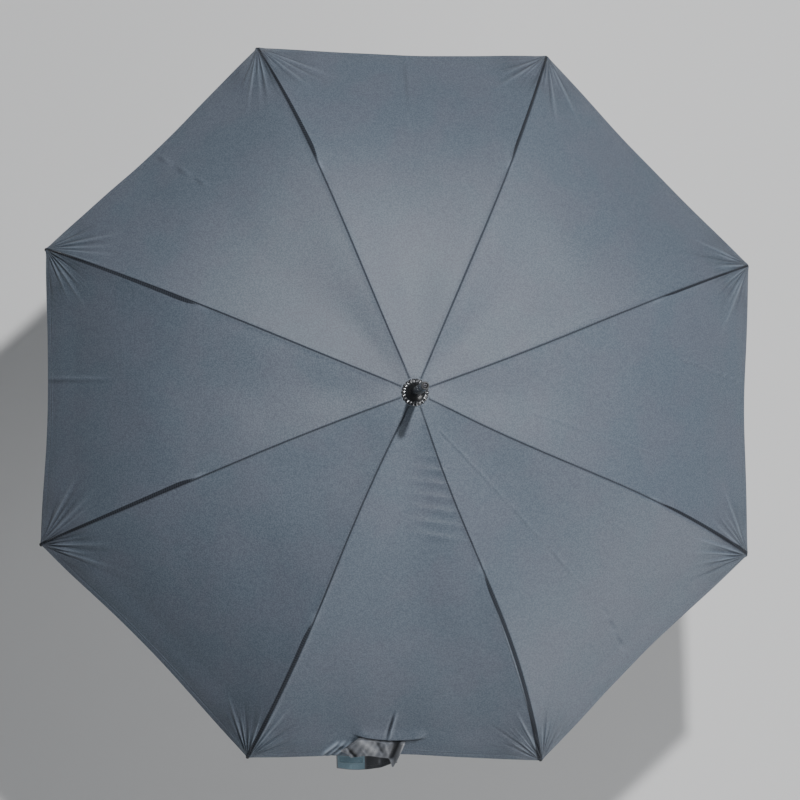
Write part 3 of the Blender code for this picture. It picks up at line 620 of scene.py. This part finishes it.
apron = WASHER_RADIUS + 0.0008
for rib in range(1, GORES + 1):
    azimuth = math.radians(22.5) + TURN * (rib - 1)
    radial = np.array([math.cos(azimuth), math.sin(azimuth), 0.0])
    tangent = np.array([-math.sin(azimuth), math.cos(azimuth), 0.0])
    for clockwise in (False, True):
        gore = (rib - 2) % GORES if clockwise else rib - 1
        side = "clockwise" if clockwise else "anticlockwise"
        for zone, body, rows, columns in (("inner", "rib_arm", 90, 64), ("outer", "rod_arm", 128, 96)):
            tied = gore == TIED_GORE and zone == "outer"
            turn = across_half(clockwise, 2 * columns, 0.35) if tied else across_half(clockwise, columns)
            columns = len(turn)
            near = share_at(turn, apron if zone == "inner" else hinge_radius)
            far = share_at(turn, hinge_radius) if zone == "inner" else np.ones(columns)
            step = np.linspace(0, 1, rows)[:, None]
            if zone == "outer":
                step = step * (1.45 - 0.45 * step)
            share = near + (far - near) * step
            turn = np.broadcast_to(turn, share.shape)
            piece, flat, area = cloth_shell(
                f"canopy_{rib}_{zone}_{side}", gore, turn, share, (slate_satin, silver_lining)
            )
            centre_share = 0.22 if zone == "inner" else 0.72
            radius, height = along_rib(np.array(centre_share))
            slope = float(np.interp(radius, rib_radius, rib_slope))
            out = radial * math.sin(slope) + np.array([0, 0, math.cos(slope)])
            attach(piece, f"{body}_{rib}")
            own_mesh(piece)
            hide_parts(f"canopy_{rib}")

# Apex cloth
# The middle of the canopy, clamped flat between the inner rosette and the washer. It stays with the shaft
# when the ribs fold down, and its edge meets the gores just outside the washer.


def turned_piece(name, points, materials, loop=False, normals=None):
    """A closed surface from rows of points. Each row joins up with itself, and with loop set the last row
    joins the first. Otherwise the first and last rows are poles, each drawn to one point."""
    rows, columns = points.shape[:2]
    index = np.arange(rows * columns).reshape(rows, columns)
    index = np.concatenate([index, index[:, :1]], axis=1)
    if loop:
        index = np.concatenate([index, index[:1]])
    faces = [index[:-1, :-1], index[1:, :-1], index[1:, 1:], index[:-1, 1:]]
    faces = np.stack(faces, axis=-1).reshape(-1, 4)
    mesh = bpy.data.meshes.new(name)
    mesh.from_pydata(points.reshape(-1, 3), [], faces)
    layer = mesh.uv_layers.new(name="cloth")
    corners = np.empty(len(mesh.loops), np.int32)
    mesh.loops.foreach_get("vertex_index", corners)
    layer.data.foreach_set("uv", points.reshape(-1, 3)[corners, :2].astype(np.float32).ravel())
    shape = bmesh.new()
    shape.from_mesh(mesh)
    if not loop:
        bmesh.ops.remove_doubles(shape, verts=shape.verts, dist=1e-7)
    bmesh.ops.recalc_face_normals(shape, faces=shape.faces)
    shape.to_mesh(mesh)
    shape.free()
    mesh.polygons.foreach_set("use_smooth", np.ones(len(mesh.polygons), bool))
    for material in materials:
        mesh.materials.append(material)
    if normals is None:
        mesh.set_sharp_from_angle(angle=math.radians(40))
    else:
        mesh.normals_split_custom_set_from_vertices(normals.reshape(-1, 3))
    piece = bpy.data.objects.new(name, mesh)
    bpy.context.collection.objects.link(piece)
    return piece


sweep = np.linspace(0, GORES, GORES * 24 + 1)[:-1]
reach = np.linspace(0, 1, 14)[:, None]
points, normals = np.empty((2, 14, len(sweep), 3))
for gore in range(GORES):
    chosen = (sweep >= gore) & (sweep < gore + 1)
    turn = sweep[chosen] - gore
    share = share_at(turn, apron) * reach
    turn = np.broadcast_to(turn, share.shape)
    points[:, chosen] = draped_gore(gore, turn, share)
    normals[:, chosen] = outward(draped_gore, gore, turn, share)
under = (points - CLOTH_THICKNESS * normals)[::-1]
apex_cloth = turned_piece(
    "apex_cloth",
    np.concatenate([points, under]),
    [slate_satin],
    loop=True,
    normals=np.concatenate([normals, -normals[::-1]]),
)
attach(apex_cloth, "shaft_assembly")
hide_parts(*(f"canopy_{rib}" for rib in range(1, GORES + 1)))
across_apex = 2 * apron
area = 0.7 * across_apex**2  # an octagon, less the hole for the shaft

# Inner rosette
# A round patch of the same cloth inside the crown, which keeps the notched rim off the canopy. It is cut
# with pinked edges and shows only from below.

felt = Finish("pinked_cloth", IOR=1.5, Sheen_Weight=0.2)
weave_across, weave_along, _ = felt.parts(felt.place())
felt_threads = (weave_across * (2 * math.pi / THREAD)).sin()
felt_threads = felt_threads * (weave_along * (2 * math.pi / THREAD)).sin()
felt_nap = felt.noise(felt.place(), 800, 4, 0.65)
pinked_cloth = felt.set(
    Base_Color=felt.mix(felt_nap, (0.020, 0.026, 0.036), (0.075, 0.090, 0.112)),
    Roughness=felt_nap * 0.2 + 0.55,
    Normal=felt.bump(felt_threads * 0.3 + felt_nap, 0.00025),
)
paint(pinked_cloth, "inner_rosette")

# Washer
# A pressed and nickelled steel rosette that holds the cloth down. Its dome is fluted out to a scalloped
# edge with a bead in each scallop, and the hollows of the flutes have darkened.

nickel = Finish("nickelled_steel", Metallic=1.0, IOR=2.4)
east, north, height = nickel.parts(nickel.place())
washer_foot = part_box("rosette_washer")[0][2]
hollow = 1 - (height - washer_foot).between(0.0006, 0.0019)
stain = nickel.noise(nickel.place(), 260, 4, 0.65).between(0.44, 0.62)
brushed = nickel.noise(nickel.place(), 3400, 3)
darkened = (hollow * 0.75 + stain * 0.8).least(1.0)
nickelled = nickel.set(
    Base_Color=nickel.mix(darkened, (0.62, 0.63, 0.65), (0.05, 0.05, 0.055)),
    Roughness=brushed * 0.14 + stain * 0.25 + hollow * 0.2 + 0.14,
    Normal=nickel.bump(brushed - stain * 0.6, 0.00002),
)

FLUTES = 22
BORE = 0.0046
EDGE = 0.0172
SHOULDER = 0.0120  # where the dome starts to fall to the edge
angle = np.linspace(0, 2 * math.pi, FLUTES * 16, endpoint=False)
out = np.linspace(0, 1, 30)[:, None]
scallop = np.abs(np.cos(FLUTES * angle / 2)) ** 0.7
radius = BORE + out * (EDGE - 0.0007 + 0.0009 * scallop - BORE)
dome = 0.0013 * (1 - ease((radius - SHOULDER) / (EDGE - SHOULDER)) ** 1.2)
flute = 0.00045 * np.cos(FLUTES * angle) * ease((radius - 0.0122) / 0.0020)
bead = hill(radius - (EDGE - 0.0013), 0.0010) * np.clip(np.cos(FLUTES * angle), 0, 1) ** 0.8
height = washer_foot + 0.0003 + dome + flute + 0.0010 * bead
upper = np.stack([radius * np.cos(angle), radius * np.sin(angle), height], axis=-1)
lower = upper - [0, 0, 0.0005]
washer = turned_piece("washer", np.concatenate([upper, lower[::-1]]), [nickelled], loop=True)
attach(washer, "shaft_assembly")
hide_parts("rosette_washer")

# Ferrule
# The long black cap over the tube's upper end, injection moulded in gloss plastic: a domed skirt on the
# washer and a peg that is open at the top, where a steel plug shows. It has a parting line and scuffs.


def rounded(profile, radius, steps=6):
    """A profile of (radius, height) corners, each inner corner drawn round: a curve from side to side."""
    profile = np.array(profile, float)
    made = [profile[:1]]
    for before, corner, after in zip(profile[:-2], profile[1:-1], profile[2:]):
        cut = min(radius, 0.45 * np.linalg.norm(before - corner), 0.45 * np.linalg.norm(after - corner))
        start = corner + cut * (before - corner) / np.linalg.norm(before - corner)
        end = corner + cut * (after - corner) / np.linalg.norm(after - corner)
        share = np.linspace(0, 1, steps)[:, None]
        made.append((1 - share) ** 2 * start + 2 * share * (1 - share) * corner + share**2 * end)
    return np.concatenate([*made, profile[-1:]])


def lathe(profile, steps):
    """Rows of points: each (radius, height) of the profile carried round the shaft."""
    angle = np.linspace(0, 2 * math.pi, steps, endpoint=False)
    radius, height = profile[:, :1], profile[:, 1:]
    return np.stack([radius * np.cos(angle), radius * np.sin(angle), height + 0 * angle], axis=-1)


gloss = Finish("gloss_plastic", IOR=1.5, Coat_Weight=0.3, Coat_Roughness=0.15)
around, north, height = gloss.parts(gloss.place())
scuff = gloss.noise(gloss.place(), 520, 4, 0.65).between(0.56, 0.68)
# The top few millimetres of the peg are mixed paler and rougher.
paler_peg_top = height.between(0.768, 0.7725)
flow_marks = gloss.noise(gloss.scaled(gloss.place(), 160, 160, 40), 1.0, 3)
parting = (1 - north.size().between(0.00006, 0.00022)) * around.between(0.0, 0.001)
gloss_plastic = gloss.set(
    Base_Color=gloss.mix(scuff * 0.4 + paler_peg_top * 0.35, (0.007, 0.007, 0.008), (0.10, 0.10, 0.105)),
    Roughness=flow_marks * 0.16 + scuff * 0.25 + paler_peg_top * 0.2 + 0.2,
    Normal=gloss.bump(parting + flow_marks * 0.4 - scuff * 0.4, 0.00006),
)
foot, top = (corner[2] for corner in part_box("ferrule"))
# Its outline in millimetres: the skirt by heights over its foot, then the peg and
# the bore by depths under its top.
skirt = [(4.3, 0), (13.0, 0), (13.0, 1.6), (12.4, 2.2), (12.4, 3.4)]
skirt += [(11.6, 5.8), (9.2, 8.0), (6.9, 9.2), (6.3, 12.0)]
peg = [(5.6, 24.0), (5.9, 23.5), (5.9, 22.5), (5.5, 22.0), (5.2, 1.0)]
peg += [(4.6, 0), (3.5, 0), (3.3, 0.6), (3.3, 49.0)]
outline = [(out / 1000, foot + up / 1000) for out, up in skirt]
outline += [(out / 1000, top - down / 1000) for out, down in [*peg, (4.3, 49.5)]]
outline = rounded([*outline, (0.0043, foot)], 0.0006)[:-1]
ferrule_cap = turned_piece("ferrule_cap", lathe(outline, 96), [gloss_plastic], loop=True)
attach(ferrule_cap, "shaft_assembly")
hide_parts("ferrule")

plug_foot, plug_top = (corner[2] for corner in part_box("ferrule_tip"))
plug = [(0, plug_foot), (0.0029, plug_foot), (0.0029, plug_top - 0.0008)]
plug += [(0.0022, plug_top), (0.0011, plug_top)]
plug += [(0.0009, plug_top - 0.0006), (0, plug_top - 0.0006)]
dull = Finish("plug_steel", Metallic=1.0, IOR=2.4)
turning = dull.noise(dull.scaled(dull.place(), 700, 700, 5000), 1.0, 3)
east, north, height = dull.parts(dull.place())
off_axis = (east * east + north * north) ** 0.5
turned_rings = (off_axis * (2 * math.pi / 0.0005)).sin()
face = off_axis.between(0.0018, 0.0023)
dull_steel = dull.set(
    Base_Color=dull.mix(face, (0.04, 0.04, 0.045), (0.36, 0.36, 0.38)),
    Roughness=turning * 0.2 + 0.24,
    Normal=dull.bump(turned_rings * 0.6 + turning, 0.00002),
)
steel_plug = turned_piece("steel_plug", lathe(rounded(plug, 0.0003), 64), [dull_steel])
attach(steel_plug, "shaft_assembly")
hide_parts("ferrule_tip")

# Rivets
# Domed steel pins through each rib channel, its stretcher and the rod's clip. Both heads show at the sides.

for rib in range(1, GORES + 1):
    azimuth = math.radians(22.5) + TURN * (rib - 1)
    half = 0.0022
    profile = [(0, -half - 0.0005), (0.0006, -half - 0.00045), (0.0011, -half - 0.0002), (0.0012, -half)]
    profile += [(0.0005, -half), (0.0005, half), (0.0012, half), (0.0011, half + 0.0002)]
    points = lathe(np.array([*profile, (0.0006, half + 0.00045), (0, half + 0.0005)]), 20)
    radial = np.array([math.cos(azimuth), math.sin(azimuth), 0.0])
    tangent = np.array([-math.sin(azimuth), math.cos(azimuth), 0.0])
    centre = radial * hinge_radius + [0, 0, hinge_height]
    placed = centre + points[..., :1] * radial + points[..., 1:2] * [0, 0, 1.0] + points[..., 2:] * tangent
    rivet = turned_piece(f"rivet_{rib}", placed, [nickelled])
    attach(rivet, f"rib_arm_{rib}")

# Tie strap
# A band of the canopy's own cloth, hemmed on both sides and sewn to the hem of one gore, to wrap the folded
# umbrella. It lies crumpled over the hem, with its loop turned over at one end and its tail beneath.


def over_gore(east, north, lift):
    """Points this far above the tied gore at these places seen from above, carried on past its hem."""
    radius = -north / math.cos(TURN / 2)
    turn = 0.5 + east / (2 * math.sin(TURN / 2) * radius)
    share = (radius - HOLE_RADIUS) / (CORNER_RADIUS - HOLE_RADIUS)
    share = share * (1 + HEM_HOLLOW * np.sin(math.pi * turn) ** 2 * share**4)
    inside = np.minimum(share, 1)
    height = bare_gore(TIED_GORE, turn, inside)[..., 2] + folds(TIED_GORE, turn, inside)[0]
    fall = 1.05 * (share - inside) * CORNER_RADIUS
    return np.stack([east, north, height + lift - fall], axis=-1)


def sheet_piece(name, top, materials, shade, thickness=CLOTH_THICKNESS):
    """A closed sheet from its upper grid, with a copy one thickness down and a wall round the edge."""
    rows, columns = top.shape[:2]
    normal = np.cross(np.gradient(top, axis=0), np.gradient(top, axis=1))
    normal /= np.linalg.norm(normal, axis=-1, keepdims=True)
    points = np.concatenate([top.reshape(-1, 3), (top - thickness * normal).reshape(-1, 3)])
    upper = grid_faces(rows, columns)
    index = np.arange(rows * columns).reshape(rows, columns)
    rim = np.concatenate([index[0, :-1], index[:-1, -1], index[-1, :0:-1], index[:0:-1, 0]])
    following = np.roll(rim, -1)
    wall = np.stack([following, rim, rim + rows * columns, following + rows * columns], axis=-1)
    mesh = bpy.data.meshes.new(name)
    mesh.from_pydata(points, [], np.concatenate([upper, upper[:, ::-1] + rows * columns, wall]))
    mesh.polygons.foreach_set("use_smooth", np.ones(len(mesh.polygons), bool))
    for material in materials:
        mesh.materials.append(material)
    along = np.concatenate([[0], np.cumsum(np.linalg.norm(np.diff(top[:, 0], axis=0), axis=-1))])
    across = np.concatenate([[0], np.cumsum(np.linalg.norm(np.diff(top[0], axis=0), axis=-1))])
    flat = np.stack(np.meshgrid(across, along), axis=-1).reshape(-1, 2)
    corners = np.empty(len(mesh.loops), np.int32)
    mesh.loops.foreach_get("vertex_index", corners)
    layer = mesh.uv_layers.new(name="cloth")
    layer.data.foreach_set("uv", np.tile(flat, (2, 1))[corners].astype(np.float32).ravel())
    attribute = mesh.attributes.new("shade", "FLOAT", "POINT")
    shade = np.broadcast_to(shade, (rows, columns)).ravel()
    attribute.data.foreach_set("value", np.tile(shade, 2).astype(np.float32))
    piece = bpy.data.objects.new(name, mesh)
    bpy.context.collection.objects.link(piece)
    steps = np.cross(top[1:, :-1] - top[:-1, :-1], top[:-1, 1:] - top[:-1, :-1])
    length = float(along[-1])
    return piece, (float(np.linalg.norm(steps, axis=-1).sum()) / length, length)


tape = Finish("strap_cloth", IOR=1.5, Sheen_Weight=0.25, Sheen_Roughness=0.4)
across_strap, along_strap, _ = tape.parts(tape.laid())
tape_threads = (across_strap * (2 * math.pi / THREAD)).sin()
tape_threads = tape_threads * (along_strap * (2 * math.pi / THREAD)).sin()
tape_cloud = tape.noise(tape.place(), 60, 4, 0.6)
tape_speckle = tape.noise(tape.place(), 620, 3, 0.65)
edge_gap = across_strap.least(0.024 - across_strap)
edge_dash = (along_strap * (2 * math.pi / 0.0026)).sin().between(-0.2, 0.2)
edge_stitch = (1 - (edge_gap - 0.0020).size().between(0.0002, 0.0005)) * edge_dash
tape_shade = tape.carried("shade")
tape_tone = tape.mix(tape_cloud.between(0.35, 0.65), (0.098, 0.108, 0.130), (0.150, 0.155, 0.170))
tape_tone = tape.mix(tape_speckle.between(0.34, 0.66) * 0.4, tape_tone, (0.150, 0.165, 0.190))
# Painted highlight on the strap's ridges, where its shade is below 0.
tape_tone = tape.mix((0.0 - tape_shade).most(0.0).least(0.9), tape_tone, (0.40, 0.41, 0.43))
# Painted shade in its grooves, under the canopy's fold and over the tail, together with the dark edge
# stitching.
tape_tone = tape.mix(tape_shade.most(edge_stitch * 0.6).least(0.97), tape_tone, (0.008, 0.010, 0.014))
strap_cloth = tape.set(
    Base_Color=tape_tone,
    Roughness=tape_cloud * 0.16 + tape_speckle * 0.12 + tape_shade.most(0.0) * 0.5 + 0.34,
    Normal=tape.bump(tape_threads * 0.1 + tape_speckle * 0.5 - edge_stitch, 0.00025),
)

# The band's folds seen from above: start, end, height and half width in millimetres.
BAND_FOLDS = [
    ((-0.056, -0.4360), (-0.026, -0.4560), 3.4, 5.0),
    ((-0.068, -0.4450), (-0.050, -0.4610), -4.2, 2.3),
    ((-0.074, -0.4390), (-0.061, -0.4530), 2.6, 2.8),
    ((-0.047, -0.4490), (-0.038, -0.4590), 1.3, 1.6),
    ((-0.029, -0.4380), (-0.017, -0.4560), -2.0, 2.0),
    ((-0.018, -0.4400), (-0.011, -0.4580), 1.6, 2.2),
    ((0.0000, -0.4350), (-0.0065, -0.4630), -5.0, 3.9),
    ((0.0080, -0.4370), (0.0010, -0.4700), 4.4, 2.4),
]
run = np.linspace(0, 1, 170)[:, None]
cross = np.linspace(0, 1, 56)
east = 0.0105 - 0.083 * run - 0.0085 * cross * (1 - run)
east = east + 0.024 * hill(run - 1, 0.15) * (cross - 0.4) ** 2
upper_edge = -0.4384 + 2.4 * (east + 0.005) ** 2 - 0.0210 * ease((-0.046 - east) / 0.027)
lower_edge = -0.4592 - 0.0012 * np.sin(9 * run) - 0.0125 * hill(run - 0.06, 0.055)
lower_edge = lower_edge + 0.004 * ease((run - 0.85) / 0.15)
north = upper_edge + (lower_edge - upper_edge) * cross
relief = 0.0005 * np.sin(2 * math.pi * (east - 0.6 * north) / 0.0093)
for start, end, tall, wide in BAND_FOLDS:
    aside, there = line_off(np.stack([east, north], axis=-1), start, end, 0.009)
    relief = relief + there * tall / 1000 * hill(aside, wide / 1000)
tucked = ease(cross / 0.16)
lift = np.maximum(0.0012 + tucked * (0.0048 + relief), 0.0009)
# The band's shade: its grooves and its edge tucked under the fold are painted dark, its ridges painted
# light.
shade = np.where(relief < 0, -relief / 0.0034, -relief / 0.0075) + 0.5 * (1 - tucked)
band, flat = sheet_piece("strap_band", over_gore(east, north, lift), [strap_cloth], shade)
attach(band, "rod_arm_6")
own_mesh(band)
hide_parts("tie_strap")

run = np.linspace(0, 1, 130)[:, None]
cross = np.linspace(0, 1, 30)
east = -0.0755 + 0.078 * run + 0.003 * (cross - 0.5)
north = -0.4565 - 0.0175 * cross - 0.002 * np.sin(5 * run) * cross + 0.006 * ease((run - 0.7) / 0.3)
fall = 0.0050 + 0.0035 * ease((run - 0.45) / 0.3) + 0.0012 * np.sin(17 * run + 2 * cross)
# The tail is painted dark where it lies in the band's shadow, with one small painted highlight.
shade = 0.93 * ease((run - 0.42) / 0.1) - 0.5 * hill(run - 0.72, 0.02) * hill(cross - 0.5, 0.2)
tail, flat = sheet_piece("strap_tail", over_gore(east, north, -fall), [strap_cloth], shade)
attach(tail, "rod_arm_6")
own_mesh(tail)
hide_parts("tie_strap")

# Strap patch
# The hook-and-loop pad sewn on the strap's end, teal, with a stitched border and a brushed pile.

pile = Finish("hook_and_loop", IOR=1.5, Sheen_Weight=0.4, Sheen_Roughness=0.5)
across_patch, along_patch, _ = pile.parts(pile.laid())
fuzz = pile.noise(pile.place(), 1500, 3, 0.7)
lint = pile.noise(pile.place(), 260, 4, 0.6).between(0.55, 0.72)
border = across_patch.least(0.0160 - across_patch).least(along_patch.least(0.0350 - along_patch))
border_stitch = (1 - (border - 0.0018).size().between(0.0002, 0.0006)) * fuzz.between(0.3, 0.5)
bound = 1 - border.between(0.0008, 0.0013)
paler = (fuzz * 0.35 + lint * 0.3 + bound * 0.4 + border_stitch * 0.3).least(1.0)
hook_and_loop = pile.set(
    Base_Color=pile.mix(paler, (0.026, 0.080, 0.112), (0.15, 0.25, 0.31)),
    Roughness=fuzz * 0.2 + 0.68,
    Normal=pile.bump(fuzz + border_stitch * 0.8, 0.00045),
)
run = np.linspace(0, 1, 90)[:, None]
cross = np.linspace(0, 1, 44)
east = -0.0735 + 0.035 * run + 0.003 * (cross - 0.5)
north = -0.4578 - 0.0158 * cross - 0.002 * np.sin(5 * run * 0.45) * cross
pillow = 0.0009 * np.sin(math.pi * run) ** 0.3 * np.sin(math.pi * cross) ** 0.3
fall = 0.0050 + 0.0012 * np.sin(17 * run * 0.45 + 2 * cross)
top = over_gore(east, north, 0.0004 + pillow - fall)
patch, flat = sheet_piece("patch_pad", top, [hook_and_loop], 0.0, 0.0004)
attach(patch, "rod_arm_6")
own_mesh(patch)
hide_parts("strap_patch")

# Floor, light and camera
# The umbrella stands on its shaft over a plain pale floor.

floor_mesh = bpy.data.meshes.new("studio_floor")
floor_corners = [(30 * east, 30 * north, -0.001) for east, north in ((-1, -1), (1, -1), (1, 1), (-1, 1))]
floor_mesh.from_pydata(floor_corners, [], [(0, 1, 2, 3)])
pale = Finish("pale_floor", Roughness=0.9, IOR=1.4)
pale_cloud = pale.noise(pale.place(), 1.3, 3)
pale_floor = pale.set(Base_Color=pale.mix(pale_cloud, (0.70, 0.70, 0.70), (0.74, 0.74, 0.74)))
floor_mesh.materials.append(pale_floor)
floor = bpy.data.objects.new("studio_floor", floor_mesh)
bpy.context.collection.objects.link(floor)


def lamp(name, towards, distance, size, power, colour=(1, 1, 1)):
    """A square soft light this far from the middle of the canopy, facing it."""
    data = bpy.data.lights.new(name, "AREA")
    data.size, data.energy, data.color = size, power, colour
    made = bpy.data.objects.new(name, data)
    way = Vector(towards).normalized()
    made.location = Vector((0, 0, 0.6)) + way * distance
    made.rotation_euler = way.to_track_quat("Z", "Y").to_euler()
    bpy.context.collection.objects.link(made)
    return made


lamp("key_light", (0.13, 0.40, 0.906), 3.0, 0.12, 98)
lamp("fill_light", (0.66, -0.66, 0.40), 3.5, 1.8, 66)
world = bpy.data.worlds.new("studio")
world.use_nodes = True
world.node_tree.nodes["Background"].inputs["Color"].default_value = (0.9, 0.95, 1.0, 1)
world.node_tree.nodes["Background"].inputs["Strength"].default_value = 0.17
bpy.context.scene.world = world

camera_data = bpy.data.cameras.new("camera")
camera_data.sensor_width, camera_data.lens = 36, 180
camera_data.clip_end = 100
camera = bpy.data.objects.new("camera", camera_data)
camera.location = (-0.577, -0.397, 5.6455)
camera.rotation_euler = [math.radians(angle) for angle in (4.349, -6.439, 0.600)]
bpy.context.collection.objects.link(camera)
bpy.context.scene.camera = camera
